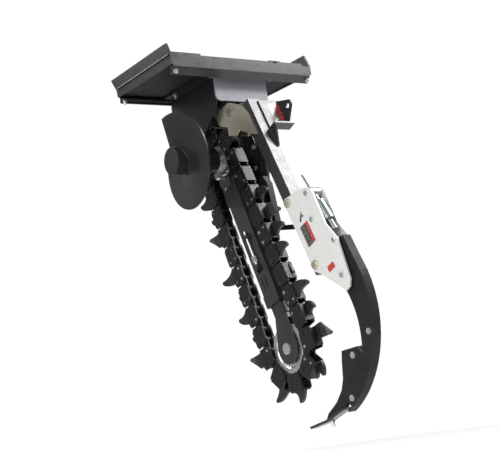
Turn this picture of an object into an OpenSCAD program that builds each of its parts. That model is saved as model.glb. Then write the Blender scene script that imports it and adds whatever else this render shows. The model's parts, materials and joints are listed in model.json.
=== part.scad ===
// Chain trencher attachment for a small loader.
// Origin: centre of the hitch plate's top face. +Z points out of the hitch plate towards the loader,
// X lies along the drive shaft with the spoil auger on the -X side, and the crumber bar is on the -Y side.
// The boom frame has its origin on the drive shaft: v runs from the boom towards the crumber bar,
// u runs down the boom, and outlines drawn as [v, u] are extruded along X. The crumber frame is the same
// kind of frame with its own origin and lean.

/* [Hitch frame] */
// Length of the hitch plate along X
hitch_l = 784; // [760:2:820]
// Depth of the hitch frame along Y
hitch_d = 500; // [490:2:510]
// Thickness of the hitch plate
hitch_t = 12; // [8:1:12]
// Wall thickness of the folded rails
rail_t = 8; // [6:1:8]
// Height of the flared end plates above the hitch plate
end_rise = 84; // [60:1:100]
// Radius of the four hitch bolt holes
hitch_hole_r = 9; // [7:0.5:11]

/* [Drive] */
// Sideways place of the chain's middle plane
chain_x = -52; // [-60:1:-40]
// Depth of the drive shaft from the hitch centre
drive_y = -18; // [-22:1:-14]
// Distance of the drive shaft below the hitch plate
drive_drop = 395; // [392:1:400]
// Lean of the boom towards the crumber, in degrees
lean = 19.85; // [19.5:0.05:20.1]
// Radius of the drive shaft
shaft_r = 32; // [28:1:32]

/* [Chain] */
// Pin spacing of the chain
pitch = 50.8; // [50.8]
// Links on each straight run of the chain
run_links = 19; // [19]
// Links around the idler wheel
nose_links = 8; // [8]
// Half of the chain's wrap around the idler wheel, in degrees
nose_wrap = 91.5; // [91:0.1:92]
// Depth of a side plate inside the pin line
plate_in = 19; // [18:0.5:19]
// Height of a side plate outside the pin line
plate_out = 54; // [50:1:56]
// Height of a common fin's tip above the pin line
fin_top = 130; // [115:1:134]
// Height of a cup tooth's tip above the pin line
cup_top = 128; // [115:1:132]

/* [Spoil auger] */
// Outer radius of the auger flight
auger_r = 222; // [200:1:225]
// Radius of the auger tube
auger_hub_r = 62; // [55:1:65]
// Advance of the flight in one turn
auger_pitch = 125; // [110:1:130]

/* [Boom] */
// Height of the outer boom box
boom_h = 95; // [90:1:95]
// Width of the outer boom box
boom_w = 60; // [56:1:60]
// Wall thickness of the outer boom box
boom_wall = 8; // [6:0.5:8]
// Radius of the nose plates
nose_r = 66; // [60:1:70]
// Radius of the idler wheel's rim
idler_r = 107; // [104:0.5:107]

/* [Crumber] */
// Lean of the crumber bar, in degrees
crumber_lean = 22.4; // [22:0.1:23]
// Side of the square crumber tube
tube_w = 60; // [56:1:60]
// Wall thickness of the crumber tube
tube_wall = 6; // [4:0.5:8]
// Distance from the crumber frame's origin to the tube's near wall
tube_v = 360; // [356:1:364]
// Thickness of the clamp plates
clamp_t = 8; // [6:1:10]
// Radius of the crumber's pivot bolt
pivot_r = 12; // [10:0.5:12]

/* [Hidden] */
$fn = 64;

// Running and assembly gaps
fit_gap = 0.05;
part_gap = 0.5;
touch = 0.01;

// Hitch frame
rail_top = 16;
near_fold = -29;
near_foot = -59;
far_foot = -43;
fold_in = 30;
end_t = 10;
half_l = hitch_l / 2;
half_d = hitch_d / 2;
hole_x = 310;
hole_y = 150;
lip_t = 8;
lip_w = 24;

// Head
head_t = 12;
head_top = -hitch_t - part_gap;
head_under = head_top - head_t;
head_x0 = chain_x - 110;
head_x1 = chain_x + 260;
head_half_d = half_d - rail_t - 1.5;
side_t = 10;
left_x = chain_x - 66;
right_x = chain_x + 112;
front_y = -165;
front_drop = 122;
drive_z = -drive_drop;
lobe_r = 205;
flange_r = 170;
gearbox_r = 72;

// Chain geometry: a twelve tooth sprocket and an idler circle that close the loop exactly
sprocket_teeth = 12;
sprocket_r = pitch / (2 * sin(180 / sprocket_teeth));
nose_step = 2 * nose_wrap / nose_links;
nose_pin_r = pitch / (2 * sin(nose_step / 2));
wrap_links = sprocket_teeth / 2;
links = wrap_links + nose_links + 2 * run_links;
run_l = run_links * pitch;
spread = nose_pin_r * sin(nose_wrap) - sprocket_r;
boom_l = sqrt(run_l * run_l - spread * spread) - nose_pin_r * cos(nose_wrap);
pin_r = 7;
roller_r = 11;
plate_t = 6;
outer_x = 19.2;
inner_x = 12.9;
roller_half = 12.6;
tooth_tip_r = sprocket_r - roller_r - 0.7;
tooth_root_r = tooth_tip_r - 9;
seat_t = 6;
bolt_line = 40;
bolt_pitch = 28;
bolt_r = 5.5;

// Boom
boom_v0 = -12;
boom_u0 = 165;
boom_u1 = 770;
inner_gap = 1.5;
inner_w = boom_w - 2 * boom_wall - 2 * inner_gap;
inner_v0 = boom_v0 + boom_wall + inner_gap;
inner_v1 = boom_v0 + boom_h - boom_wall - inner_gap;
inner_u0 = 300;
inner_u1 = 824;
window_u0 = 425;
window_u1 = 610;
window_v0 = 12;
window_v1 = 52;
rod_v = 32;
rod_r = 7;
rod_x = -37.5;
lug_u = 575;
nose_x = 12.4;
nose_t = 6;
idler_pin_r = 20;
idler_w = 20;

// Crumber
crumber_y = 26;
crumber_z = -400;
tube_top = -50;
tube_end = 835;
pivot_v = 290;
pivot_u = -79;
zinc_x = tube_w / 2 + 0.2;
zinc_t = 6;
clamp_x = tube_w / 2 + 0.2;
shoe_half = 20;
web_t = 6;
shoe_v = 153;
shoe_u = 940;
shoe_r = 434;
shoe_in_v = 106;
shoe_in_u = 1009;
shoe_in_r = 368;

// ---- placing helpers ----
module yz_plate(x0, t) translate([x0, 0, 0]) rotate([90, 0, 90]) linear_extrude(t) children();

module drive_frame() translate([chain_x, drive_y, drive_z]) children();

module boom_frame() drive_frame() rotate([-lean, 0, 0]) children();

module crumber_frame() translate([chain_x, crumber_y, crumber_z]) rotate([-crumber_lean, 0, 0])
    children();

// Extrudes an outline drawn as [v, u], from x0 and t thick
module side(x0, t) translate([x0, 0, 0]) rotate([90, 0, 90]) linear_extrude(t) rotate(180) children();

module both_sides(x0, t) {
    side(x0, t) children();
    side(-x0 - t, t) children();
}

// A round bar along X at v, u
module cross_bar(v, u, r, x0, len) translate([x0, -v, -u]) rotate([0, 90, 0]) cylinder(r = r, h = len);

module x_bar(r, x0, len) translate([x0, 0, 0]) rotate([0, 90, 0]) cylinder(r = r, h = len);

module hex_bar(af, x0, len) translate([x0, 0, 0]) rotate([0, 90, 0])
    cylinder(r = af / sqrt(3), h = len, $fn = 6);

module box2(v0, u0, v1, u1) translate([v0, u0]) square([v1 - v0, u1 - u0]);

function arc(cx, cy, r, a0, a1, n) =
    [for (i = [0 : n]) let (a = a0 + (a1 - a0) * i / n) [cx + r * cos(a), cy + r * sin(a)]];

// ---- hitch frame: the body that the loader holds ----
module hitch_plate() {
    inside = half_d - rail_t;
    color("#26272b") difference() {
        translate([-half_l + end_t, -inside, -hitch_t]) cube([hitch_l - 2 * end_t, 2 * inside, hitch_t]);
        for (x = [-hole_x, hole_x], y = [-hole_y, hole_y])
            translate([x, y, -hitch_t - 1]) cylinder(r = hitch_hole_r, h = hitch_t + 2);
    }
}

function rail_outline(fold, foot, dir) = let (o = dir * half_d, i = dir * (half_d - rail_t),
    fo = dir * (half_d - fold_in), fi = dir * (half_d - fold_in - rail_t))
    [[o, rail_top], [o, fold], [fo, foot], [fi, foot + rail_t * 0.4], [i, fold + rail_t * 0.4],
     [i, rail_top]];

module near_rail() color("#2d2e32") yz_plate(-half_l + end_t, hitch_l - 2 * end_t)
    polygon(rail_outline(near_fold, near_foot, -1));

module far_rail() color("#26272b") yz_plate(-half_l + end_t, hitch_l - 2 * end_t)
    polygon([[half_d, rail_top], [half_d, far_foot], [half_d - rail_t, far_foot],
             [half_d - rail_t, rail_top]]);

module end_outline() polygon([[-half_d, -22], [half_d, -14], [half_d + 4, rail_top + 4],
    [half_d + 46, end_rise], [-half_d + 26, end_rise - 2], [-half_d, 24]]);

module end_bead(x) for (y = [-half_d + 12 : 16 : half_d - 16])
    translate([x, y, 24 + (y + half_d) * 0.004]) rotate([-90, 0, 0]) cylinder(r = 4, h = 15.5, $fn = 24);

module end_plate_left() color("#4a4a44") union() {
    yz_plate(-half_l, end_t) end_outline();
    end_bead(-half_l);
}

module end_plate_right() color("#34353a") union() {
    yz_plate(half_l - end_t, end_t) end_outline();
    end_bead(half_l);
}

module hitch_bar() color("#3b3c41") difference() {
    union() {
        translate([-half_l + end_t + 2, -half_d + 3, rail_top]) cube([hitch_l - 2 * end_t - 40, 12, 13]);
        translate([-half_l + end_t + 2, -half_d + 3, rail_top]) cube([150, 12, 21]);
        translate([150, -half_d + 1, rail_top]) cube([62, 16, 17]);
    }
    translate([168, -half_d - 1, rail_top + 5]) cube([26, 20, 6]);
}

module slide_lips() color("#26272b") {
    top = head_under - part_gap;
    wall = half_d - rail_t;
    yz_plate(-half_l + end_t, hitch_l - 2 * end_t) polygon([[wall - lip_w, top], [wall, top],
        [wall, top - lip_t], [wall - lip_w, top - lip_t]]);
    yz_plate(-half_l + end_t, hitch_l - 2 * end_t) polygon([[-wall + lip_w, top], [-wall, top],
        [-wall, top - 0.4], [-wall + 8, top - lip_t], [-wall + lip_w, top - lip_t]]);
}

// A hexagon head with a stud's end standing out of it
module stud_bolt() {
    cylinder(r = 11, h = 9, $fn = 6);
    translate([0, 0, 8]) cylinder(r = 6, h = 12);
}

// Bolts that hang from the far slide lip, and from the slanted fold of the near rail
module rail_bolts() color("#c9ccd0") for (x = [-368, 368]) {
    translate([x, half_d - rail_t - lip_w / 2, head_under - part_gap - lip_t])
        rotate([180, 0, 0]) stud_bolt();
    translate([x, -half_d + fold_in / 2 - 0.1, (near_fold + near_foot) / 2 - 0.1])
        rotate([135, 0, 0]) stud_bolt();
}

// ---- head: slides sideways under the hitch plate ----
module head_top_plate() color("#26272b") difference() {
    translate([head_x0, -head_half_d, head_under])
        cube([head_x1 - head_x0, 2 * head_half_d, head_t]);
    for (p = clamp_points()) translate([p[0], p[1], head_under - 1]) cylinder(r = 8.5, h = head_t + 2);
}

function clamp_points() = [[head_x0 + 16, -180], [head_x0 + 16, 130], [head_x0 + 70, -125],
    [head_x0 + 70, 182], [head_x0 + 188, 196], [head_x1 - 30, -196], [head_x1 - 30, 196]];

module clamp_bolts() color("#d4d6da") for (p = clamp_points()) translate([p[0], p[1], 0]) {
    translate([0, 0, head_under - 10]) cylinder(r = 14, h = 10, $fn = 6);
    translate([0, 0, head_under - 24]) cylinder(r = 8.5, h = head_t + 23.6);
}

module head_side_left() color("#2a2b2f") yz_plate(left_x, side_t) polygon([
    [front_y + side_t, head_under], [front_y + side_t, -150], [-112, -205], [-40, -262], [95, -262],
    [185, -190], [226, -120], [226, -62], [206, head_under]]);

module head_side_right() color("#3d3b33") yz_plate(right_x, side_t) difference() {
    union() {
        translate([drive_y + 4, drive_z - 35]) circle(r = lobe_r);
        polygon([[front_y + side_t, head_under], [front_y + side_t, drive_z + 75], [120, drive_z + 55],
            [206, -150], [206, head_under]]);
    }
    translate([drive_y, drive_z]) circle(r = gearbox_r - 20);
}

module head_front_plate() color("#9b9ba1") translate([0, front_y + side_t, 0]) rotate([90, 0, 0])
    linear_extrude(side_t) polygon(concat([[left_x, head_under - touch]],
        arc(left_x + 28, head_under - front_drop + 28, 28, 180, 270, 8),
        [[chain_x + 226, head_under - front_drop], [chain_x + 226, head_under - 10],
        [chain_x + 218, head_under - touch]]));

module motor_flange() color("#202124") drive_frame() difference() {
    x_bar(flange_r, 98, 14);
    x_bar(gearbox_r - 20, 90, 30);
}

module flange_bolts() color("#c9ccd0") drive_frame() for (i = [0 : 9]) rotate([36 * i + 8, 0, 0])
    translate([0, 0, flange_r - 16]) {
        hex_bar(20, 90, 8);
    }

module gearbox() color("#1d1e21") drive_frame() difference() {
    union() {
        x_bar(gearbox_r, 42, 56);
        x_bar(gearbox_r - 20.2, 98, 24);
    }
    x_bar(shaft_r + fit_gap, 40, 60);
}

module hydraulic_motor() color("#2a2b2e") drive_frame() union() {
    x_bar(gearbox_r + 10, 122, 36);
    x_bar(gearbox_r - 8, 158, 92);
    translate([176, -78, -24]) cube([52, 40, 48]);
}

module motor_cap() color("#17181a") drive_frame() union() {
    x_bar(gearbox_r - 4, 250, 14);
    x_bar(30, 264, 10);
}

module hose_fittings() color("#8e9095") drive_frame() for (x = [188, 214])
    translate([x, -78, x == 188 ? -10 : 12]) rotate([90, 0, 0]) {
        cylinder(r = 11.5, h = 12, $fn = 6);
        translate([0, 0, 12]) cylinder(r = 8, h = 16);
        translate([0, 0, 28]) sphere(r = 9);
        translate([0, 0, 28]) rotate([0, 115, 0]) cylinder(r = 8, h = 26);
    }

// ---- boom ----
module boom_bracket() color("#1f2023") boom_frame() side(boom_w / 2, 12) difference() {
    union() {
        circle(r = gearbox_r);
        box2(boom_v0, 0, boom_v0 + boom_h - 14, 340);
    }
    circle(r = shaft_r + 8);
}

module boom_outline(grow, u0, u1) box2(boom_v0 - grow, u0, boom_v0 + boom_h + grow, u1);

module boom_outer() color("#5c5c60") boom_frame() difference() {
    side(-boom_w / 2, boom_w) boom_outline(0, boom_u0, boom_u1);
    side(-boom_w / 2 + boom_wall, boom_w - 2 * boom_wall)
        boom_outline(-boom_wall, boom_u0 + boom_wall, boom_u1 + 1);
    side(-boom_w / 2 - 1, boom_wall + 2) box2(window_v0, window_u0, window_v1, window_u1);
    for (v = [18, 42]) side(-boom_w / 2 - 1, boom_wall + 2) box2(v - 3, 628, v + 3, 690);
}

module boom_collar() color("#56565a") boom_frame() difference() {
    side(-boom_w / 2 - 3, boom_w + 6) box2(boom_v0 - 3, 715, boom_v0 + boom_h + 3, boom_u1 - 1);
    side(-boom_w / 2 - touch, boom_w + 2 * touch)
        box2(boom_v0 - touch, 700, boom_v0 + boom_h + touch, boom_u1 + 10);
}

module rod_anchor() color("#3a3a3e") boom_frame() difference() {
    side(-47, 26) box2(window_v0, window_u0, window_v1, window_u0 + 16);
    translate([rod_x, -rod_v, -window_u0 - 30]) cylinder(r = rod_r + fit_gap, h = 60);
}

module boom_inner() color("#5c5c60") boom_frame() difference() {
    side(-inner_w / 2, inner_w) box2(inner_v0, inner_u0, inner_v1, inner_u1);
    side(-nose_x, 2 * nose_x) box2(inner_v0 + 6, inner_u0 - 1, inner_v1 - 6, inner_u1 + 1);
}

// Where a straight side from p touches the nose circle
function tangent(p, s) = let (d = norm([p[0], p[1] - boom_l]), b = acos(nose_r / d),
    a = atan2(p[1] - boom_l, p[0])) [nose_r * cos(a + s * b), boom_l + nose_r * sin(a + s * b)];

module nose_outline() {
    low = [inner_v0 - 4, inner_u1 + 0.3];
    high = [inner_v1, inner_u1 + 0.3];
    difference() {
        union() {
            translate([0, boom_l]) circle(r = nose_r);
            polygon([low, tangent(low, -1), [0, boom_l], tangent(high, 1), high]);
        }
        translate([0, boom_l]) circle(r = idler_pin_r);
    }
}

module nose_plates() color("#67676b") boom_frame() both_sides(nose_x, nose_t) nose_outline();

module nose_insert() color("#3a3a3e") boom_frame()
    side(-nose_x + touch, 2 * nose_x - 2 * touch)
        box2(inner_v0 + 6 + touch, inner_u1 - 60, inner_v1 - 6 - touch, inner_u1 + 26);

module idler_pin() color("#dcdde0") boom_frame() union() {
    cross_bar(0, boom_l, idler_pin_r, -nose_x - nose_t - 1, 2 * (nose_x + nose_t + 1));
    for (x = [-nose_x - nose_t - 7, nose_x + nose_t]) cross_bar(0, boom_l, 25, x, 7);
}

module tension_rod() color("#d9dadd") boom_frame()
    translate([rod_x, -rod_v, -lug_u]) cylinder(r = rod_r, h = lug_u - window_u0 + 20);

module tension_nuts() color("#d9dadd") boom_frame() for (u = [lug_u - 14, lug_u - 30]) difference() {
    translate([rod_x, -rod_v, -u]) rotate(30) cylinder(r = 13, h = 12, $fn = 6);
    translate([rod_x, -rod_v, -u - 1]) cylinder(r = rod_r, h = 14);
}

module tension_lug() color("#3c3b38") boom_frame() side(-49, 49 - inner_w / 2)
    polygon([[window_v0 + 6, lug_u], [window_v1 - 4, lug_u], [window_v1 - 4, lug_u + 12],
             [window_v0 + 16, lug_u + 24], [window_v0 + 6, lug_u + 20]]);

module idler_wheel() color("#e2e4e6") boom_frame() translate([0, 0, -boom_l]) rotate([0, 90, 0])
    rotate_extrude($fn = 128) polygon([[34, -11.8], [44, -11.8], [48, -5], [78, -5], [84, -idler_w / 2],
        [idler_r, -idler_w / 2], [idler_r, idler_w / 2], [84, idler_w / 2], [78, 5], [48, 5],
        [44, 11.8], [34, 11.8]]);

module idler_bearings() color("#8f9296") boom_frame() translate([0, 0, -boom_l]) rotate([0, 90, 0])
    for (z = [-11.5, 0.5]) translate([0, 0, z]) difference() {
        cylinder(r = 34, h = 11);
        translate([0, 0, -1]) cylinder(r = idler_pin_r + fit_gap, h = 13);
    }

// ---- chain ----
// Place of pin i as [v, u]: over the sprocket, down the far run, round the nose and back up
function run_point(a, b, t) = a + (b - a) * t;
far_top = [-sprocket_r, 0];
far_low = [-nose_pin_r * sin(nose_wrap), boom_l + nose_pin_r * cos(nose_wrap)];
near_low = [-far_low[0], far_low[1]];
near_top = [sprocket_r, 0];
i_far = wrap_links;
i_nose = i_far + run_links;
i_near = i_nose + nose_links;
function pin_at(i) =
    i <= i_far ? sprocket_r * [cos(180 * i / wrap_links), -sin(180 * i / wrap_links)] :
    i <= i_nose ? run_point(far_top, far_low, (i - i_far) / run_links) :
    i <= i_near ? let (a = -nose_wrap + (i - i_nose) * nose_step)
        [nose_pin_r * sin(a), boom_l + nose_pin_r * cos(a)] :
    run_point(near_low, near_top, (i - i_near) / run_links);

// Moves an outline drawn along a link (x along the chain, y outwards) to link i
module on_link(i) {
    a = pin_at(i);
    b = pin_at(i + 1);
    translate((a + b) / 2) rotate(atan2(b[1] - a[1], b[0] - a[0])) children();
}

outer_links = [for (i = [0 : 2 : links - 2]) i];

// Fins: link, height over a common fin and shift along the link
fins = [[0, 0, 0], [2, -10, 0], [4, 0, 0], [6, -10, 0], [8, 0, 0], [10, -10, -14], [16, 30, -14],
    [18, -20, -14], [20, 5, -14], [22, -15, -14], [26, 20, 14], [28, -20, 14], [30, -30, 14],
    [34, -25, 14], [36, 24, 0], [38, -60, 0], [40, -2, 0], [42, 0, 0], [46, -10, -14]];

// Cups: link and shift along the link
cups = [[12, -14], [24, -14], [32, 14], [44, -14]];

module plate_outline(half, top) difference() {
    union() {
        for (s = [-1, 1]) translate([s * pitch / 2, 0]) circle(r = plate_in, $fn = 32);
        translate([-pitch / 2, -plate_in]) square([pitch, plate_in + 1]);
        translate([-half, 0]) square([2 * half, top]);
    }
    for (s = [-1, 1]) translate([s * pitch / 2, 0]) circle(r = pin_r + fit_gap, $fn = 32);
}

module chain_outer_plates() color("#5a5a5f") boom_frame() for (i = outer_links)
    both_sides(outer_x, plate_t) on_link(i) difference() {
        plate_outline(47, plate_out);
        for (s = [-1, 1]) translate([s * bolt_pitch, bolt_line]) circle(r = bolt_r, $fn = 24);
    }

module chain_inner_plates() color("#2c2c30") boom_frame() for (i = [1 : 2 : links - 1])
    both_sides(inner_x, plate_t) on_link(i) plate_outline(pitch / 2 + 8, 17);

module at_pins() for (i = [0 : links - 1]) translate([0, -pin_at(i)[0], -pin_at(i)[1]])
    rotate([0, 90, 0]) children();

module chain_pins() color("#3a3a3e") boom_frame() at_pins()
    translate([0, 0, -27.5]) cylinder(r = pin_r, h = 55, $fn = 24);

module chain_rollers() color("#303034") boom_frame() at_pins() difference() {
    translate([0, 0, -roller_half]) cylinder(r = roller_r, h = 2 * roller_half, $fn = 32);
    translate([0, 0, -roller_half - 1]) cylinder(r = pin_r + fit_gap, h = 2 * roller_half + 2, $fn = 24);
}

module tooth_seats() color("#26262a") boom_frame() for (i = outer_links)
    side(-outer_x - plate_t, 2 * (outer_x + plate_t)) on_link(i)
        translate([-38, plate_out + 0.3]) square([76, seat_t]);

tooth_base = plate_out + seat_t + 0.3;

module tooth_bolts() color("#b9bbc0") boom_frame() for (i = outer_links) on_side_bolts(i);

module on_side_bolts(i) for (s = [-1, 1]) both_sides(outer_x - 3, plate_t + 5)
    on_link(i) translate([s * bolt_pitch, bolt_line]) circle(r = bolt_r - fit_gap, $fn = 20);

function curve(p, q, r, n) = [for (k = [0 : n]) let (t = k / n)
    (1 - t) * (1 - t) * p + 2 * t * (1 - t) * q + t * t * r];

// A slim hooked fin: rounded back, hollow front and a blunt tip
module fin_outline(top) {
    rise = top - tooth_base;
    polygon(concat([[-35, tooth_base]],
        curve([35, tooth_base], [22, tooth_base + 0.8 * rise], [-9, top], 10),
        [[-15, top - 1]],
        curve([-19, top - 5], [-10, tooth_base + 0.3 * rise], [-33, tooth_base + 3], 8)));
}

module fin_teeth() color("#77777b") boom_frame() for (f = fins) side(f[0] % 4 == 0 ? -19 : 6, 13)
    on_link(f[0]) translate([f[2], 0]) fin_outline(fin_top + f[1]);

// Frame of link i: x across the chain, y along it and z outwards
module link_frame(i) {
    a = pin_at(i);
    b = pin_at(i + 1);
    translate([0, -(a[0] + b[0]) / 2, -(a[1] + b[1]) / 2])
        rotate([atan2(a[1] - b[1], a[0] - b[0]), 0, 0]) children();
}

// A cup tooth: a plate along the link, folded into three facets that flare to one side
module cup_tooth() intersection() {
    rotate([90, 0, 0]) linear_extrude(90, center = true) polygon([[-14, tooth_base], [-14, 84],
        [-22, 106], [-38, cup_top + 2], [-30, cup_top + 6], [-14, 111], [-6, 87],
        [-6, tooth_base]]);
    rotate([90, 0, 90]) linear_extrude(120, center = true) polygon([[-30, tooth_base],
        [30, tooth_base], [35, 94], [-18, cup_top], [-27, cup_top - 5]]);
}

// The far strand's cups flare to the left, the near strand's to the right
module cup_teeth() color("#4c4a43") boom_frame() for (c = cups) link_frame(c[0])
    translate([0, c[1], 0]) mirror([c[0] > 28 ? 1 : 0, 0, 0]) cup_tooth();

// ---- drive: turns on the drive shaft ----
module drive_shaft() color("#55565a") drive_frame() x_bar(shaft_r, -27, 124);

// The teeth stop just inside the rollers, so that the sprocket turns freely under the chain
function sprocket_points() = [for (i = [0 : sprocket_teeth - 1]) each tooth_points(i * 30)];
function tooth_points(a0) = concat(arc(0, 0, tooth_root_r, a0 - 6, a0 + 6, 4),
    arc(0, 0, tooth_tip_r, a0 + 11, a0 + 19, 4));

module drive_sprocket() color("#c4c6c8") boom_frame() difference() {
    side(-10, 20) polygon(sprocket_points());
    x_bar(shaft_r, -11, 22);
}

module hub_flange() color("#1c1d20") drive_frame() difference() {
    x_bar(50, -27, 16.8);
    x_bar(shaft_r, -28, 20);
}

module hub_bolts() color("#d4d6da") drive_frame() for (i = [0 : 5]) rotate([60 * i + 20, 0, 0])
    translate([0, 0, 41]) hex_bar(13, -34, 6.8);

module auger_tube() color("#3b3b3f") drive_frame() difference() {
    union() {
        x_bar(auger_hub_r - 30, -38, 10.8);
        x_bar(auger_hub_r, -262, 224.2);
        x_bar(auger_hub_r + 5, -76, 8);
    }
    x_bar(auger_hub_r - 8, -254, 208);
}

// Angle of the flight runs from its free edge, and the flight advances along the tube
flight_start = 105;
flight_turn = 352;
flight_steps = 44;
flight_x0 = -248;
flight_t = 9;
function flight_point(r, k, dx) = let (a = flight_start - flight_turn * k / flight_steps)
    [flight_x0 + auger_pitch * k / flight_steps * flight_turn / 360 + dx, -r * cos(a), r * sin(a)];

module auger_flight() {
    r0 = auger_hub_r + 0.2;
    pts = [for (k = [0 : flight_steps]) each [flight_point(r0, k, 0), flight_point(auger_r, k, 0),
        flight_point(auger_r, k, flight_t), flight_point(r0, k, flight_t)]];
    walls = [for (k = [0 : flight_steps - 1], j = [0 : 3]) let (a = 4 * k + j,
        b = 4 * k + (j + 1) % 4) each [[a, b, b + 4], [a, b + 4, a + 4]]];
    last = 4 * flight_steps;
    color("#55524e") drive_frame() polyhedron(points = pts,
        faces = concat([[3, 2, 1, 0]], walls, [[last, last + 1, last + 2, last + 3]]));
}

// ---- fixed pieces under the head ----
module parking_leg() color("#222327") union() {
    yz_plate(right_x - 40, 30) polygon([[-190, -520], [-236, -520], [-262, -560], [-282, -740],
        [-300, -762], [-400, -778], [-400, -800], [-232, -772], [-205, -600]]);
    yz_plate(right_x - 10.1, 10) polygon([[-190, -440], [-236, -440], [-236, -560], [-190, -560]]);
}

lug_x = 20;
lug_back = front_y + side_t + 0.1;

module lug_outline() difference() {
    union() {
        translate(pivot_yz()) circle(r = 26);
        polygon([[lug_back, -60], [lug_back, -152], pivot_yz() + [-10, 24], pivot_yz() + [-6, -25],
            [-150, -196], [-110, -160], [-100, -60]]);
    }
    translate(pivot_yz()) circle(r = pivot_r + fit_gap);
}

module pivot_lugs() color("#2a2b2f") for (x = [chain_x - lug_x - 9, chain_x + lug_x])
    yz_plate(x, 9) lug_outline();

function pivot_yz() = [crumber_y - pivot_v * cos(crumber_lean) - pivot_u * sin(crumber_lean),
    crumber_z + pivot_v * sin(crumber_lean) - pivot_u * cos(crumber_lean)];

// ---- crumber: swings about the pivot bolt ----
module pivot_plates() color("#b3aa8c") crumber_frame() both_sides(zinc_x, zinc_t) difference() {
    polygon(concat([[377, -46], [395, 10], [395, 128], [355, 99], [296, 28], [262, 34], [216, 0],
        [232, -37], [206, -62]], arc(228, -98, 42, 140, 290, 12), [[300, -126]]));
    translate([pivot_v, pivot_u]) circle(r = pivot_r);
}

module pivot_bolt() color("#c8c2a8") crumber_frame() union() {
    cross_bar(pivot_v, pivot_u, pivot_r, -zinc_x - zinc_t - 1, 2 * (zinc_x + zinc_t + 1));
    for (x = [-zinc_x - zinc_t - 10, zinc_x + zinc_t]) translate([0, -pivot_v, -pivot_u])
        hex_bar(36, x, 10);
}

module crumber_tube() color("#8b8a88") crumber_frame() difference() {
    side(-tube_w / 2, tube_w) box2(tube_v, tube_top, tube_v + tube_w, tube_end);
    side(-tube_w / 2 + tube_wall, tube_w - 2 * tube_wall)
        box2(tube_v + tube_wall, tube_top - 1, tube_v + tube_w - tube_wall, tube_end + 1);
    for (u = clamp_us) cross_bar(tube_v + tube_w / 2, u, 10, -60, 120);
}

clamp_us = [497, 803];

module lifting_bracket() color("#2f3034") crumber_frame() {
    face = -tube_v - tube_w;
    union() {
        translate([tube_w / 2, face, 0]) rotate([90, 0, 0]) linear_extrude(8)
            polygon([[-12, 36], [98, 40], [98, -122], [-12, -122]]);
        translate([tube_w / 2 - 12, face - 8 - 40, -122]) cube([110, 40.5, 8]);
        side(tube_w / 2 - 12, 8) polygon([[-face, 121], [-face + 48, 121], [-face + 44, 132],
            [-face + 8, 214], [-face, 218]]);
        translate([tube_w / 2 + 90, 0, 0]) side(0, 8) difference() {
            polygon(concat([[-face, -40]], arc(-face + 62, 30, 24, -70, 60, 8), [[-face, 114]]));
            translate([-face + 58, 32]) circle(r = 12);
        }
    }
}

clamp_outline_points = [[366, 484], [380, 470], [492, 496], [530, 516], [548, 548], [540, 700],
    [566, 790], [538, 960], [516, 984], [492, 986], [398, 852], [370, 822]];
small_bolts = [[514, 533], [482, 641], [548, 784], [506, 923]];

module crumber_clamps() color("#ecebe6") crumber_frame() both_sides(clamp_x, clamp_t) difference() {
    polygon(clamp_outline_points);
    for (u = clamp_us) translate([tube_v + tube_w / 2, u]) circle(r = 10);
    for (p = small_bolts) translate(p) circle(r = 7, $fn = 32);
}

module crumber_bolts() color("#d8cfae") crumber_frame() for (u = clamp_us) {
    cross_bar(tube_v + tube_w / 2, u, 10, -clamp_x - clamp_t - 2, 2 * (clamp_x + clamp_t) + 4);
    for (s = [-1, 1]) translate([0, -tube_v - tube_w / 2, -u]) {
        x_bar(19, s > 0 ? clamp_x + clamp_t : -clamp_x - clamp_t - 3, 3);
        hex_bar(27, s > 0 ? clamp_x + clamp_t + 3 : -clamp_x - clamp_t - 12, 9);
    }
}

// A bolt across the bar, with a hexagon head at each end of its grip
module through_bolt(p, r, grip, af, head) {
    cross_bar(p[0], p[1], r, -grip - 1, 2 * grip + 2);
    for (x = [-grip - head, grip]) translate([0, -p[0], -p[1]]) hex_bar(af, x, head);
}

// The small bolts of the clamps, the shoe, the foot and the tip
module crumber_small_bolts() color("#d8d8d4") crumber_frame() {
    for (p = small_bolts) through_bolt(p, 7 - fit_gap, clamp_x + clamp_t + 0.2, 20, 7);
    for (p = shoe_bolts) through_bolt(p, 8 - fit_gap, shoe_half + 0.2, 24, 9);
    through_bolt(foot_bolt, 9 - fit_gap, foot_x + 10.2, 26, 8);
    translate([0, -62, -1374]) cylinder(r = 7 - fit_gap, h = 37);
    translate([0, -62, -1358]) cylinder(r = 12, h = 9, $fn = 6);
}

// A sprung strut between the upper bolt and the top of the shoe, with its end hook
module strut() difference() {
    p = small_bolts[0];
    q = small_bolts[2];
    a = atan2(q[0] - p[0], q[1] - p[1]);
    translate([0, -p[0], -p[1]]) rotate([-a, 0, 0]) union() {
        x_bar(22, -29.9, 59.8);
        translate([0, 0, -200]) cylinder(r = 12, h = 200);
        translate([0, 0, -150]) cylinder(r = 24, h = 96);
        translate([0, 0, 10]) cylinder(r = 6, h = 92);
    }
    cross_bar(p[0], p[1], 7, -30, 60);
}

// Sleeves on the two lower clamp bolts, between the clamp plates and the shoe
module shoe_spacers() for (p = [small_bolts[2], small_bolts[3]], x = [-30.15, shoe_half + touch])
    difference() {
        cross_bar(p[0], p[1], 13, x, 30.14 - shoe_half);
        cross_bar(p[0], p[1], 7 + fit_gap, x - 1, 34 - shoe_half);
    }

module spacer_strut() color("#d5d7da") crumber_frame() {
    strut();
    shoe_spacers();
}

// Outline of the shoe: an outer and an inner arc, closed at the clamp and at the tip
module shoe_outline(r) polygon(concat([[546, 764], [shoe_v + r - 5, 786]],
    arc(shoe_v, shoe_u, r, -5, 80, 22),
    [[212, 1318], [262, 1288], [340, 1262], [398, 1232]],
    arc(shoe_in_v, shoe_in_u, shoe_in_r, 36, -6, 12), [[490, 880], [520, 768]]));

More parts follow.
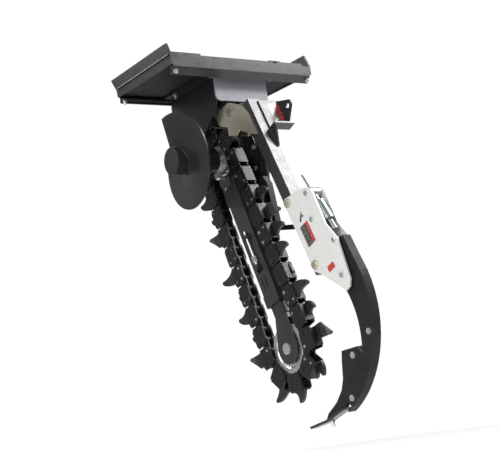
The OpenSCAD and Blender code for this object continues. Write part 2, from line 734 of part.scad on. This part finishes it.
module shoe_webs() color("#5f5f63") crumber_frame() both_sides(shoe_half - web_t, web_t) difference() {
    shoe_outline(shoe_r - 8);
    for (p = [small_bolts[2], small_bolts[3]]) translate(p) circle(r = 7, $fn = 32);
    for (p = shoe_bolts) translate(p) circle(r = 8, $fn = 32);
}

shoe_bolts = [[497, 1172], [258, 1338]];

module shoe_back() color("#222226") crumber_frame()
    side(-shoe_half, 2 * shoe_half) polygon(concat([[shoe_v + shoe_r - 4, 786]],
        arc(shoe_v, shoe_u, shoe_r, -5, 84, 28), arc(shoe_v, shoe_u, shoe_r - 7.8, 84, -5, 28),
        [[shoe_v + shoe_r - 12, 786]]));

foot_x = 3.9;
foot_bolt = [354, 1200];
module shoe_foot() color("#38383c") crumber_frame() both_sides(foot_x, 10) difference() {
    polygon([[298, 1152], [393, 1182], [400, 1224], [360, 1262], [262, 1300], [176, 1341],
        [50, 1335.5], [76, 1320], [148, 1306], [204, 1280], [240, 1246], [272, 1190]]);
    translate(foot_bolt) circle(r = 9);
}

// The hardened point under the foot
module shoe_tip() color("#2c2c30") crumber_frame() difference() {
    side(-shoe_half, 2 * shoe_half) polygon([[176, 1341.3], [176, 1352], [50, 1348], [-58, 1326],
        [-60, 1315], [50, 1335.8]]);
    translate([0, -62, -1380]) cylinder(r = 7, h = 60);
}

hitch_plate();
near_rail();
far_rail();
end_plate_left();
end_plate_right();
hitch_bar();
slide_lips();
rail_bolts();
head_top_plate();
head_side_left();
head_side_right();
head_front_plate();
clamp_bolts();
motor_flange();
flange_bolts();
gearbox();
hydraulic_motor();
motor_cap();
hose_fittings();
boom_bracket();
boom_outer();
boom_collar();
rod_anchor();
boom_inner();
nose_plates();
nose_insert();
idler_pin();
tension_rod();
tension_nuts();
tension_lug();
idler_wheel();
idler_bearings();
chain_outer_plates();
chain_inner_plates();
chain_pins();
chain_rollers();
tooth_seats();
fin_teeth();
cup_teeth();
tooth_bolts();
drive_shaft();
drive_sprocket();
hub_flange();
hub_bolts();
auger_tube();
auger_flight();
parking_leg();
pivot_lugs();
pivot_plates();
pivot_bolt();
crumber_tube();
lifting_bracket();
crumber_clamps();
crumber_bolts();
crumber_small_bolts();
spacer_strut();
shoe_webs();
shoe_back();
shoe_foot();
shoe_tip();
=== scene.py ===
"""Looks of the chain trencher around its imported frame: materials, welds, labels and studio."""
import json
import math

import bmesh
import bpy
from mathutils import Matrix, Vector


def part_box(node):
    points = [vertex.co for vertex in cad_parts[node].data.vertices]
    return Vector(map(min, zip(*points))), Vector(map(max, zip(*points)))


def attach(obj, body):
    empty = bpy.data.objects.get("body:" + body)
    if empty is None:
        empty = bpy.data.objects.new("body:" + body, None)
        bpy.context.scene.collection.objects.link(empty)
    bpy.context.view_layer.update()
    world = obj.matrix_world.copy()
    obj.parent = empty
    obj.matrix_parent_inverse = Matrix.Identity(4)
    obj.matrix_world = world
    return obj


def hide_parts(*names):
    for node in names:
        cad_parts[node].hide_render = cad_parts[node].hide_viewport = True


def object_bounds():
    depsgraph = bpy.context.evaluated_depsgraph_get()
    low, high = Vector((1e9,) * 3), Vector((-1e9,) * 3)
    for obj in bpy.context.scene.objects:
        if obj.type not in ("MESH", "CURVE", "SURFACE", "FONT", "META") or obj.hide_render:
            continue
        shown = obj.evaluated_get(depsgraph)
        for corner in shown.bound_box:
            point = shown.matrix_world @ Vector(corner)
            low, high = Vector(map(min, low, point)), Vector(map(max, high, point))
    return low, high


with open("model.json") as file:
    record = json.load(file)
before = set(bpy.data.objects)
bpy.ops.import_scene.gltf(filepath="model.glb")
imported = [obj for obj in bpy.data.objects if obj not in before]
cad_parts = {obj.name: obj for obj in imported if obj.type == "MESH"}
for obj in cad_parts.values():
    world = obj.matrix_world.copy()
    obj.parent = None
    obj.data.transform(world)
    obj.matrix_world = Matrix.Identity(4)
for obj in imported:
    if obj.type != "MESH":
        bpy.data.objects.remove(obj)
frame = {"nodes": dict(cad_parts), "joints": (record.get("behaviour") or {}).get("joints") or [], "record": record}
cad_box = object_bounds()
nodes = frame["nodes"]
joints = {j["name"]: j for j in frame["joints"]}
slot_of = {s["node"]: s["material_slot"] for s in frame["record"]["subparts"]}

MM = 0.001


# ---------------------------------------------------------------- material kit
class Shader:
    """A principled material with short calls for its nodes."""

    def __init__(self, name):
        self.mat = bpy.data.materials.new(name)
        self.mat.use_nodes = True
        self.tree = self.mat.node_tree
        self.tree.nodes.clear()
        self.out = self.tree.nodes.new("ShaderNodeOutputMaterial")
        self.bsdf = self.tree.nodes.new("ShaderNodeBsdfPrincipled")
        self.link(self.bsdf.outputs["BSDF"], self.out.inputs["Surface"])
        self.coord = self.tree.nodes.new("ShaderNodeTexCoord").outputs["Object"]
        self.bumps = None

    def link(self, a, b):
        self.tree.links.new(a, b)

    def put(self, socket, value):
        if isinstance(value, bpy.types.NodeSocket):
            self.link(value, socket)
        else:
            socket.default_value = value

    def set(self, **values):
        names = {"metal": "Metallic", "rough": "Roughness", "color": "Base Color", "coat": "Coat Weight",
                 "coat_rough": "Coat Roughness", "specular": "Specular IOR Level", "aniso": "Anisotropic"}
        for key, value in values.items():
            if key == "color" and not isinstance(value, bpy.types.NodeSocket) and len(value) == 3:
                value = (*value, 1)
            self.put(self.bsdf.inputs[names[key]], value)

    def stretched(self, scale):
        n = self.tree.nodes.new("ShaderNodeMapping")
        n.inputs["Scale"].default_value = scale
        self.link(self.coord, n.inputs["Vector"])
        return n.outputs["Vector"]

    def noise(self, scale, detail=4, rough=0.55, distortion=0, coord=None):
        n = self.tree.nodes.new("ShaderNodeTexNoise")
        n.inputs["Scale"].default_value = scale
        n.inputs["Detail"].default_value = detail
        n.inputs["Roughness"].default_value = rough
        n.inputs["Distortion"].default_value = distortion
        self.link(coord or self.coord, n.inputs["Vector"])
        return n.outputs["Fac"]

    def ramp(self, fac, low, high, a=0.0, b=1.0):
        n = self.tree.nodes.new("ShaderNodeMapRange")
        n.inputs["From Min"].default_value = low
        n.inputs["From Max"].default_value = high
        n.inputs["To Min"].default_value = a
        n.inputs["To Max"].default_value = b
        self.link(fac, n.inputs["Value"])
        return n.outputs["Result"]

    def mix(self, fac, a, b):
        n = self.tree.nodes.new("ShaderNodeMix")
        n.data_type = "RGBA"
        self.put(n.inputs["Factor"], fac)
        for socket, value in ((n.inputs["A"], a), (n.inputs["B"], b)):
            if not isinstance(value, bpy.types.NodeSocket) and len(value) == 3:
                value = (*value, 1)
            self.put(socket, value)
        return n.outputs["Result"]

    def math(self, op, a, b=0.0):
        n = self.tree.nodes.new("ShaderNodeMath")
        n.operation = op
        n.use_clamp = op in ("MULTIPLY", "ADD", "SUBTRACT")
        self.put(n.inputs[0], a)
        self.put(n.inputs[1], b)
        return n.outputs["Value"]

    def edges(self, radius, low=0.02, high=0.25):
        """1 along the corners of the shape, 0 on flat stretches."""
        bevel = self.tree.nodes.new("ShaderNodeBevel")
        bevel.samples = 6
        bevel.inputs["Radius"].default_value = radius
        geometry = self.tree.nodes.new("ShaderNodeNewGeometry")
        dot = self.tree.nodes.new("ShaderNodeVectorMath")
        dot.operation = "DOT_PRODUCT"
        self.link(bevel.outputs["Normal"], dot.inputs[0])
        self.link(geometry.outputs["Normal"], dot.inputs[1])
        turned = self.math("SUBTRACT", 1.0, dot.outputs["Value"])
        return self.ramp(turned, low, high)

    def up(self, low=0.3, high=0.9):
        """1 on faces that look up, where dust settles."""
        geometry = self.tree.nodes.new("ShaderNodeNewGeometry")
        split = self.tree.nodes.new("ShaderNodeSeparateXYZ")
        self.link(geometry.outputs["Normal"], split.inputs["Vector"])
        return self.ramp(split.outputs["Z"], low, high)

    def bump(self, height, strength, distance):
        n = self.tree.nodes.new("ShaderNodeBump")
        n.inputs["Strength"].default_value = strength
        n.inputs["Distance"].default_value = distance
        self.link(height, n.inputs["Height"])
        if self.bumps:
            self.link(self.bumps, n.inputs["Normal"])
        self.bumps = n.outputs["Normal"]
        self.link(self.bumps, self.bsdf.inputs["Normal"])


def powder_coat(name, color, rough, wear=0.35, dust=0.06, film=0.25):
    """Satin powder coat: orange peel, faint cloudiness, rubbed corners and dust on top."""
    s = Shader(name)
    cloud = s.ramp(s.noise(9, 5, 0.6), 0.3, 0.7)
    light = tuple(min(1, c * 1.4 + 0.003) for c in color)
    base = s.mix(cloud, color, light)
    dusty = s.math("MULTIPLY", s.up(), s.ramp(s.noise(22, 6, 0.65), 0.45, 0.75, 0, dust))
    base = s.mix(dusty, base, (0.33, 0.31, 0.28))
    chips = s.ramp(s.noise(140, 5, 0.7), 0.5, 0.62)
    rubbed = s.math("MULTIPLY", s.edges(0.0016), s.math("MULTIPLY", chips, wear))
    base = s.mix(rubbed, base, (0.42, 0.41, 0.4))
    s.set(color=base, metal=s.math("MULTIPLY", rubbed, 0.8), specular=0.2 + film)
    grime = s.ramp(s.noise(35, 6, 0.6), 0.3, 0.75, rough - 0.06, rough + 0.12)
    s.set(rough=grime, coat=film, coat_rough=0.22)
    s.bump(s.noise(900, 2, 0.5), 0.05, 0.0003)
    s.bump(s.noise(60, 3, 0.5), 0.05, 0.0015)
    return s.mat


def enamel(name, color, rough, dirt=0.35):
    """Smooth gloss enamel with faint streaks, chipped corners and grime near the edges."""
    s = Shader(name)
    streak = s.ramp(s.noise(14, 6, 0.6, coord=s.stretched((3, 3, 0.7))), 0.35, 0.8, 0, dirt)
    base = s.mix(streak, color, tuple(c * 0.8 for c in color))
    chips = s.ramp(s.noise(190, 4, 0.7), 0.56, 0.62)
    chipped = s.math("MULTIPLY", s.edges(0.0012), chips)
    base = s.mix(chipped, base, (0.2, 0.19, 0.18))
    s.set(color=base, rough=s.ramp(s.noise(45, 5), 0.3, 0.7, rough - 0.05, rough + 0.1), coat=0.4,
          coat_rough=0.12)
    s.bump(s.noise(500, 2), 0.05, 0.0004)
    s.bump(s.noise(26, 3), 0.04, 0.002)
    return s.mat


def plated(name, color, other, rough, spangle=30):
    """Zinc plating: a metal with soft colour drift, fine brushing and duller patches."""
    s = Shader(name)
    drift = s.ramp(s.noise(spangle, 3, 0.5, 0.6), 0.3, 0.7)
    base = s.mix(drift, color, other)
    spots = s.ramp(s.noise(260, 5, 0.7), 0.6, 0.75, 0, 0.45)
    base = s.mix(spots, base, tuple(c * 0.45 for c in color))
    haze = s.ramp(s.noise(80, 6, 0.65), 0.25, 0.8, rough - 0.08, rough + 0.16)
    s.set(color=base, metal=0.92, rough=haze)
    s.bump(s.noise(700, 3, coord=s.stretched((1, 1, 0.12))), 0.10, 0.0003)
    return s.mat


def machined(name, color, rough):
    """Turned or ground bare steel with fine lines, light stains and bright corners."""
    s = Shader(name)
    stain = s.ramp(s.noise(24, 7, 0.65), 0.48, 0.78, 0, 0.5)
    base = s.mix(stain, color, tuple(c * 0.7 for c in color))
    base = s.mix(s.edges(0.0015), base, (0.85, 0.85, 0.86))
    grain = s.ramp(s.noise(120, 5), 0.3, 0.7, rough - 0.07, rough + 0.12)
    s.set(color=base, metal=0.95, rough=grain, aniso=0.4)
    s.bump(s.noise(520, 2, coord=s.stretched((0.05, 1, 1))), 0.05, 0.0002)
    return s.mat


def oiled_chain(name):
    """Blackened chain steel under an oil film, with rubbed corners and earth in the corners."""
    s = Shader(name)
    cloud = s.ramp(s.noise(60, 5, 0.6), 0.3, 0.75)
    base = s.mix(cloud, (0.005, 0.005, 0.006), (0.015, 0.015, 0.015))
    rub = s.math("MULTIPLY", s.edges(0.0014), s.ramp(s.noise(180, 5, 0.7), 0.46, 0.64, 0, 0.6))
    base = s.mix(rub, base, (0.26, 0.25, 0.24))
    soil = s.ramp(s.noise(38, 7, 0.7), 0.60, 0.78, 0, 0.25)
    base = s.mix(soil, base, (0.055, 0.04, 0.03))
    s.set(color=base, metal=0.2, specular=0.4, coat=0.1, coat_rough=0.3,
          rough=s.ramp(s.noise(90, 6, 0.65), 0.25, 0.8, 0.34, 0.62))
    s.bump(s.noise(420, 4, 0.6), 0.22, 0.0005)
    return s.mat


def worn_tooth(name):
    """Hardened tooth: forged black skin, brown heat tint and bright rubbed edges."""
    s = Shader(name)
    skin = s.ramp(s.noise(75, 6, 0.65), 0.3, 0.75)
    base = s.mix(skin, (0.012, 0.012, 0.012), (0.045, 0.042, 0.04))
    tint = s.ramp(s.noise(14, 3, 0.6, 0.8), 0.56, 0.76, 0, 0.4)
    base = s.mix(tint, base, (0.10, 0.05, 0.026))
    rub = s.math("MULTIPLY", s.edges(0.002, 0.02, 0.3), s.ramp(s.noise(150, 5, 0.7), 0.42, 0.64, 0, 0.8))
    base = s.mix(rub, base, (0.42, 0.38, 0.34))
    s.set(color=base, metal=s.ramp(rub, 0, 1, 0.35, 0.9), rough=s.ramp(s.noise(110, 6), 0.25, 0.8, 0.3, 0.6),
          specular=0.6)
    s.bump(s.noise(210, 6, 0.65), 0.35, 0.0009)
    return s.mat


def worn_head(name):
    """Pin and bolt heads of the chain: most under dark oil, some rubbed bright."""
    s = Shader(name)
    bright = s.ramp(s.noise(17, 1, 0.5), 0.56, 0.64)
    base = s.mix(bright, (0.02, 0.02, 0.021), (0.6, 0.6, 0.6))
    stain = s.ramp(s.noise(240, 5, 0.7), 0.5, 0.7, 0, 0.5)
    base = s.mix(stain, base, (0.05, 0.045, 0.04))
    grain = s.ramp(s.noise(130, 5), 0.3, 0.7, 0.25, 0.5)
    s.set(color=base, metal=s.ramp(bright, 0, 1, 0.25, 0.9), rough=grain)
    s.bump(s.noise(600, 3, 0.6), 0.15, 0.0003)
    return s.mat


def printed_label(name, ground, ink, rows, run, weight):
    """A printed label: soft lines of generic printing across a plain ground, under a gloss film."""
    s = Shader(name)
    wave = s.tree.nodes.new("ShaderNodeTexWave")
    wave.bands_direction = run
    wave.inputs["Scale"].default_value = rows
    wave.inputs["Distortion"].default_value = 0.6
    wave.inputs["Detail"].default_value = 2
    s.link(s.coord, wave.inputs["Vector"])
    lines = s.math("MULTIPLY", s.ramp(wave.outputs["Fac"], 0.55, 0.7, 0, weight),
                   s.ramp(s.noise(150, 2), 0.4, 0.55))
    base = s.mix(lines, ground, ink)
    scuff = s.ramp(s.noise(90, 6, 0.7), 0.55, 0.75, 0, 0.35)
    base = s.mix(scuff, base, tuple(c * 0.7 + 0.02 for c in ground))
    s.set(color=base, rough=s.ramp(s.noise(60, 4), 0.3, 0.7, 0.22, 0.4), coat=0.5, coat_rough=0.15)
    s.bump(s.noise(420, 2), 0.06, 0.0002)
    return s.mat


MATERIALS = {
    "black_coat": powder_coat("black_coat", (0.017, 0.017, 0.018), 0.30),
    "head_coat": powder_coat("head_coat", (0.008, 0.008, 0.009), 0.42, dust=0.1, film=0.12),
    "end_coat": powder_coat("end_coat", (0.013, 0.013, 0.010), 0.42, film=0.1),
    "shoe_coat": powder_coat("shoe_coat", (0.009, 0.009, 0.010), 0.62, dust=0, film=0.05),
    "boom_coat": powder_coat("boom_coat", (0.018, 0.018, 0.020), 0.38),
    "auger_coat": powder_coat("auger_coat", (0.014, 0.013, 0.014), 0.3, wear=0.7, film=0.15),
    "motor_coat": enamel("motor_coat", (0.012, 0.012, 0.013), 0.22),
    "light_plate": enamel("light_plate", (0.365, 0.36, 0.405), 0.3),
    "clamp_coat": enamel("clamp_coat", (0.74, 0.745, 0.72), 0.28, dirt=0.25),
    "yellow_zinc": plated("yellow_zinc", (0.74, 0.68, 0.50), (0.62, 0.60, 0.54), 0.32),
    "bright_zinc": plated("bright_zinc", (0.76, 0.77, 0.79), (0.62, 0.63, 0.66), 0.27),
    "bare_steel": machined("bare_steel", (0.74, 0.74, 0.75), 0.26),
    "hub_steel": machined("hub_steel", (0.42, 0.42, 0.43), 0.4),
    "chain_steel": oiled_chain("chain_steel"),
    "tooth_steel": worn_tooth("tooth_steel"),
    "strut_zinc": plated("strut_zinc", (0.40, 0.45, 0.46), (0.30, 0.34, 0.35), 0.3),
    "bolt_zinc": plated("bolt_zinc", (0.42, 0.42, 0.42), (0.30, 0.30, 0.31), 0.3),
    "pin_heads": worn_head("pin_heads"),
    "dark_label": printed_label("dark_label", (0.022, 0.022, 0.025), (0.7, 0.7, 0.7), 70, "Z", 0.3),
    "red_label": printed_label("red_label", (0.55, 0.03, 0.03), (0.8, 0.75, 0.72), 30, "Y", 0.12),
}

# Nodes that differ from the rest of their slot
OWN_MATERIAL = {"end_plate_left": "end_coat", "hitch_plate": "shoe_coat", "shoe_back": "shoe_coat",
                "shoe_webs": "shoe_coat", "shoe_foot": "shoe_coat", "hub_flange": "hub_steel",
                "chain_pins": "pin_heads", "tooth_bolts": "pin_heads", "spacer_strut": "strut_zinc",
                "pivot_bolt": "bolt_zinc"}

BEVELS = {"chain_steel": 0.7, "tooth_steel": 1.2, "bright_zinc": 0.5, "bare_steel": 0.6}
DEFAULT_BEVEL = 1.0
NO_BEVEL = {"auger_flight"}


def dress(name, obj):
    """Gives a frame node its material, and softens its corners."""
    slot = slot_of[name]
    obj.data.materials.clear()
    obj.data.materials.append(MATERIALS[OWN_MATERIAL.get(name, slot)])
    for face in obj.data.polygons:
        face.use_smooth = True
    if name not in NO_BEVEL:
        bevel = obj.modifiers.new("soft corners", "BEVEL")
        bevel.width = BEVELS.get(slot, DEFAULT_BEVEL) * MM
        bevel.segments = 2
        bevel.limit_method = "ANGLE"
        bevel.angle_limit = math.radians(40)
        bevel.harden_normals = True


for name, obj in nodes.items():
    dress(name, obj)

# ---------------------------------------------------------------- places in the boom frame
AXIS_AT = Vector(joints["auger_drive"]["pos_m"])
ACROSS = Vector((1, 0, 0))
DOWN = Vector(joints["boom_tension"]["axis"]).normalized()
TOWARD = DOWN.cross(ACROSS)


def at(x, v, u):
    """A point in millimetres from the drive shaft: across, towards the crumber and down the boom."""
    return AXIS_AT + (ACROSS * x + TOWARD * v + DOWN * u) * MM


CRUMBER_LEAN = math.radians(22.4)
CRUMBER_DOWN = Vector((0, -math.sin(CRUMBER_LEAN), -math.cos(CRUMBER_LEAN)))
CRUMBER_TOWARD = CRUMBER_DOWN.cross(ACROSS)
PIVOT_V, PIVOT_U = 290, -79


def on_crumber(x, v, u):
    """A point in millimetres across, outwards and down the crumber bar."""
    pivot = Vector(joints["crumber_swing"]["pos_m"])
    return pivot + (ACROSS * x + CRUMBER_TOWARD * (v - PIVOT_V) + CRUMBER_DOWN * (u - PIVOT_U)) * MM


def add_piece(name, verts, faces, material, body, smooth=True):
    """A mesh piece that rides on a body and takes one of the materials."""
    mesh = bpy.data.meshes.new(name)
    mesh.from_pydata([tuple(v) for v in verts], [], faces)
    bm = bmesh.new()
    bm.from_mesh(mesh)
    bmesh.ops.recalc_face_normals(bm, faces=bm.faces)
    bm.to_mesh(mesh)
    bm.free()
    for face in mesh.polygons:
        face.use_smooth = smooth
    piece = bpy.data.objects.new(name, mesh)
    bpy.context.scene.collection.objects.link(piece)
    mesh.materials.append(MATERIALS[material])
    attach(piece, body)
    return piece


# ---------------------------------------------------------------- auger flight
FLIGHT_IN, FLIGHT_OUT = 60.5, 222.0
FLIGHT_START, FLIGHT_TURN = 105.0, 352.0
FLIGHT_X0, FLIGHT_PITCH, FLIGHT_T = -248.0, 125.0, 9.0
FLIGHT_STEPS = 264
RIM_ROUND = 1.6


def flight_point(r, x, k):
    a = math.radians(FLIGHT_START - FLIGHT_TURN * k / FLIGHT_STEPS)
    advance = FLIGHT_PITCH * FLIGHT_TURN / 360 * k / FLIGHT_STEPS
    return AXIS_AT + Vector((FLIGHT_X0 + advance + x, -r * math.cos(a), r * math.sin(a))) * MM


def auger_flight():
    """The screw's blade as a smooth helicoid with a rubbed, rounded rim."""
    t, c = FLIGHT_T, RIM_ROUND
    rings = [FLIGHT_IN] + [FLIGHT_IN + (FLIGHT_OUT - FLIGHT_IN) * i / 8 for i in range(1, 8)]
    section = [(r, 0) for r in rings]
    section += [(FLIGHT_OUT - c, 0), (FLIGHT_OUT - c * 0.3, c * 0.3), (FLIGHT_OUT, c), (FLIGHT_OUT, t - c),
                (FLIGHT_OUT - c * 0.3, t - c * 0.3), (FLIGHT_OUT - c, t)]
    section += [(r, t) for r in reversed(rings)]
    n = len(section)
    verts = [flight_point(r, x, k) for k in range(FLIGHT_STEPS + 1) for r, x in section]
    faces = []
    for k in range(FLIGHT_STEPS):
        a, b = k * n, (k + 1) * n
        faces += [(a + i, a + (i + 1) % n, b + (i + 1) % n, b + i) for i in range(n)]
    faces += [tuple(range(n)), tuple(range(FLIGHT_STEPS * n, FLIGHT_STEPS * n + n))]
    blade = add_piece("auger_blade", verts, faces, "auger_coat", "drive")
    blade.data.set_sharp_from_angle(angle=math.radians(50))
    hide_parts("auger_flight")


# ---------------------------------------------------------------- weld beads
BEAD_SIDES = 8
SUNK = 0.0005
# The boom collar's outline, in the boom's millimetres
COLLAR_HALF, COLLAR_U = 31.5, 714.6
COLLAR_V = (-13.5, 84.5)
# The crumber tube's outer face and the lifting ear's, in the crumber's millimetres
TUBE_FACE_V, EAR_FACE_V = 420.2, 428.4
SIDE_WELD_Y = (-0.150, 0.200)
SIDE_SUNK = 0.0004


def weld(name, path, radius, body, material, closed=False):
    """A rippled bead of weld metal laid along a path of points in metres."""
    step = radius * 0.42 * MM
    if closed:
        path = path + path[:1]
    points = []
    for a, b in zip(path, path[1:]):
        count = max(1, int((b - a).length / step))
        points += [a.lerp(b, i / count) for i in range(count)]
    points.append(path[-1])
    verts, faces = [], []
    for i, p in enumerate(points):
        along = (points[min(i + 1, len(points) - 1)] - points[max(i - 1, 0)]).normalized()
        side = along.orthogonal().normalized()
        other = along.cross(side)
        swell = radius * MM * (1 + 0.11 * math.cos(i * 1.3) + 0.06 * math.sin(i * 0.37))
        for k in range(BEAD_SIDES):
            a = 2 * math.pi * k / BEAD_SIDES
            verts.append(p + (side * math.cos(a) + other * math.sin(a)) * swell)
    for i in range(len(points) - 1):
        a, b = i * BEAD_SIDES, (i + 1) * BEAD_SIDES
        faces += [(a + k, a + (k + 1) % BEAD_SIDES, b + (k + 1) % BEAD_SIDES, b + k)
                  for k in range(BEAD_SIDES)]
    faces += [tuple(range(BEAD_SIDES)), tuple(range(len(verts) - BEAD_SIDES, len(verts)))]
    piece = add_piece(name, verts, faces, material, body)


def weld_beads():
    ring = range(0, FLIGHT_STEPS + 1, 2)
    root = FLIGHT_IN + 2.5
    for name, x in (("weld_flight_front", -0.5), ("weld_flight_back", FLIGHT_T + 0.5)):
        weld(name, [flight_point(root, x, k) for k in ring], 3.4, "drive", "auger_coat")
    (v0, v1), half, u = COLLAR_V, COLLAR_HALF, COLLAR_U
    weld("weld_boom_collar", [at(-half, v0, u), at(-half, v1, u), at(half, v1, u), at(half, v0, u)], 2.2,
         "head", "boom_coat", closed=True)
    for name, start, end in (("plate", (18.5, TUBE_FACE_V, -34), (18.5, TUBE_FACE_V, 120)),
                             ("ear", (119.6, EAR_FACE_V, -34), (119.6, EAR_FACE_V, 112)),
                             ("shelf", (36, EAR_FACE_V, 113.6), (118, EAR_FACE_V, 113.6)),
                             ("gusset", (17.6, TUBE_FACE_V, 124), (17.6, TUBE_FACE_V, 214))):
        weld("weld_lifting_" + name, [on_crumber(*start), on_crumber(*end)], 2.8, "crumber", "black_coat")
    front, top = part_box("head_front_plate")
    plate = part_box("head_top_plate")[0][2]
    y, z = front[1] - SUNK, plate - SUNK
    weld("weld_front_plate", [Vector((front[0] + 0.004, y, z)), Vector((top[0] - 0.012, y, z))], 2.6, "head",
         "head_coat")
    low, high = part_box("hitch_plate")
    for name, y in (("weld_near_rail", low[1]), ("weld_far_rail", high[1])):
        z = high[2] + SUNK
        weld(name, [Vector((low[0] + 0.002, y, z)), Vector((high[0] - 0.002, y, z))], 3.0, "mount_frame",
             "black_coat")
    left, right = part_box("head_side_left"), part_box("head_side_right")
    for name, x in (("weld_left_side", left[0][0]), ("weld_right_side", right[0][0])):
        weld(name, [Vector((x - SIDE_SUNK, y, plate - SIDE_SUNK)) for y in SIDE_WELD_Y], 2.8, "head",
             "head_coat")


# ---------------------------------------------------------------- plain labels, with no words
LABEL_T = 0.35
LIFT_FACE_V = 428


def label(name, outline, place, material):
    """A thin sticker: place(a, b, lift) gives the point at a, b on the face, lifted off it."""
    n = len(outline)
    verts = [place(a, b, 0.05) for a, b in outline] + [place(a, b, LABEL_T) for a, b in outline]
    faces = [tuple(range(n)), tuple(range(n, 2 * n))]
    faces += [(i, (i + 1) % n, n + (i + 1) % n, n + i) for i in range(n)]
    add_piece(name, verts, faces, material, "crumber", smooth=False)


def rounded(v0, u0, v1, u1, r=4, steps=5):
    """A rectangle with rounded corners, as a list of points."""
    points = []
    corners = ((v1 - r, u1 - r, 0), (v0 + r, u1 - r, 90), (v0 + r, u0 + r, 180), (v1 - r, u0 + r, 270))
    for cv, cu, a0 in corners:
        points += [(cv + r * math.cos(math.radians(a0 + 90 * i / steps)),
                    cu + r * math.sin(math.radians(a0 + 90 * i / steps))) for i in range(steps + 1)]
    return points


def labels():
    face = (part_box("crumber_clamps")[0][0] - AXIS_AT.x) / MM

    def on_clamp(v, u, lift):
        return on_crumber(face - lift, v, u)

    def on_plate(x, u, lift):
        return on_crumber(x, LIFT_FACE_V + lift, u)

    label("label_dark", rounded(397, 626, 436, 724), on_clamp, "dark_label")
    label("label_red_band", rounded(436.4, 626, 453, 724), on_clamp, "red_label")
    label("label_mark", [(409, 606), (420, 592), (446, 571), (438, 588), (447, 601), (430, 598), (418, 612)],
          on_clamp, "dark_label")
    label("label_corner", rounded(446, 849, 491, 876), on_clamp, "red_label")
    label("label_lift_dark", rounded(60, -18, 95, 96), on_plate, "dark_label")
    label("label_lift_red", rounded(95.4, -18, 116, 96), on_plate, "red_label")


auger_flight()
weld_beads()
labels()

# ---------------------------------------------------------------- studio
low, high = cad_box
centre = (Vector(low) + Vector(high)) / 2
FLOOR_DROP = 0.30
FLOOR_R = 2.9


def plain_floor():
    """A round pale floor well below the hanging attachment."""
    bm = bmesh.new()
    bmesh.ops.create_circle(bm, cap_ends=True, segments=96, radius=FLOOR_R)
    mesh = bpy.data.meshes.new("floor")
    bm.to_mesh(mesh)
    bm.free()
    floor = bpy.data.objects.new("floor", mesh)
    floor.location = (centre.x, centre.y, low[2] - FLOOR_DROP)
    bpy.context.scene.collection.objects.link(floor)
    s = Shader("floor")
    s.set(color=s.mix(s.noise(0.6, 2), (0.86, 0.86, 0.86), (0.9, 0.9, 0.9)), rough=0.85, specular=0.2)
    floor.data.materials.append(s.mat)


def soft_light(name, azimuth, elevation, distance, size, power):
    """An area light on a sphere about the object, facing its centre."""
    data = bpy.data.lights.new(name, "AREA")
    data.shape = "DISK"
    data.size = size
    data.energy = power
    light = bpy.data.objects.new(name, data)
    a = math.radians(azimuth)
    e = math.radians(elevation)
    out = Vector((-math.sin(a) * math.cos(e), -math.cos(a) * math.cos(e), math.sin(e)))
    light.location = centre + out * distance
    light.rotation_euler = out.to_track_quat("Z", "Y").to_euler()
    bpy.context.scene.collection.objects.link(light)


AMBIENT = 0.35


def white_world():
    """White behind the object, and a dimmer white around it as light."""
    world = bpy.data.worlds.new("studio")
    world.use_nodes = True
    tree = world.node_tree
    background = tree.nodes["Background"]
    background.inputs["Color"].default_value = (1, 1, 1, 1)
    path = tree.nodes.new("ShaderNodeLightPath")
    level = tree.nodes.new("ShaderNodeMapRange")
    level.inputs["To Min"].default_value = AMBIENT
    level.inputs["To Max"].default_value = 1.02
    tree.links.new(path.outputs["Is Camera Ray"], level.inputs["Value"])
    tree.links.new(level.outputs["Result"], background.inputs["Strength"])
    bpy.context.scene.world = world
    bpy.context.scene.view_settings.view_transform = "Standard"


CAMERA_AT = Vector((-2.6714, -3.7558, -1.4116))
CAMERA_AZIMUTH = -36.26
CAMERA_LIFT = 8.71
CAMERA_ROLL = -8.4
CAMERA_LENS = 72.0


def place_camera():
    data = bpy.data.cameras.new("camera")
    data.lens = CAMERA_LENS
    data.sensor_width = 36
    data.clip_end = 100
    camera = bpy.data.objects.new("camera", data)
    turn = (Matrix.Rotation(math.radians(CAMERA_AZIMUTH), 4, "Z")
            @ Matrix.Rotation(math.radians(90 + CAMERA_LIFT), 4, "X")
            @ Matrix.Rotation(math.radians(CAMERA_ROLL), 4, "Z"))
    camera.matrix_world = Matrix.Translation(CAMERA_AT) @ turn
    bpy.context.scene.collection.objects.link(camera)
    bpy.context.scene.camera = camera


plain_floor()
white_world()
soft_light("key", -51.9, 42, 4.5, 2.4, 225)
soft_light("side", 66, 20, 4.5, 2.6, 105)
soft_light("rim", 165, 45, 4.5, 2.0, 120)
place_camera()
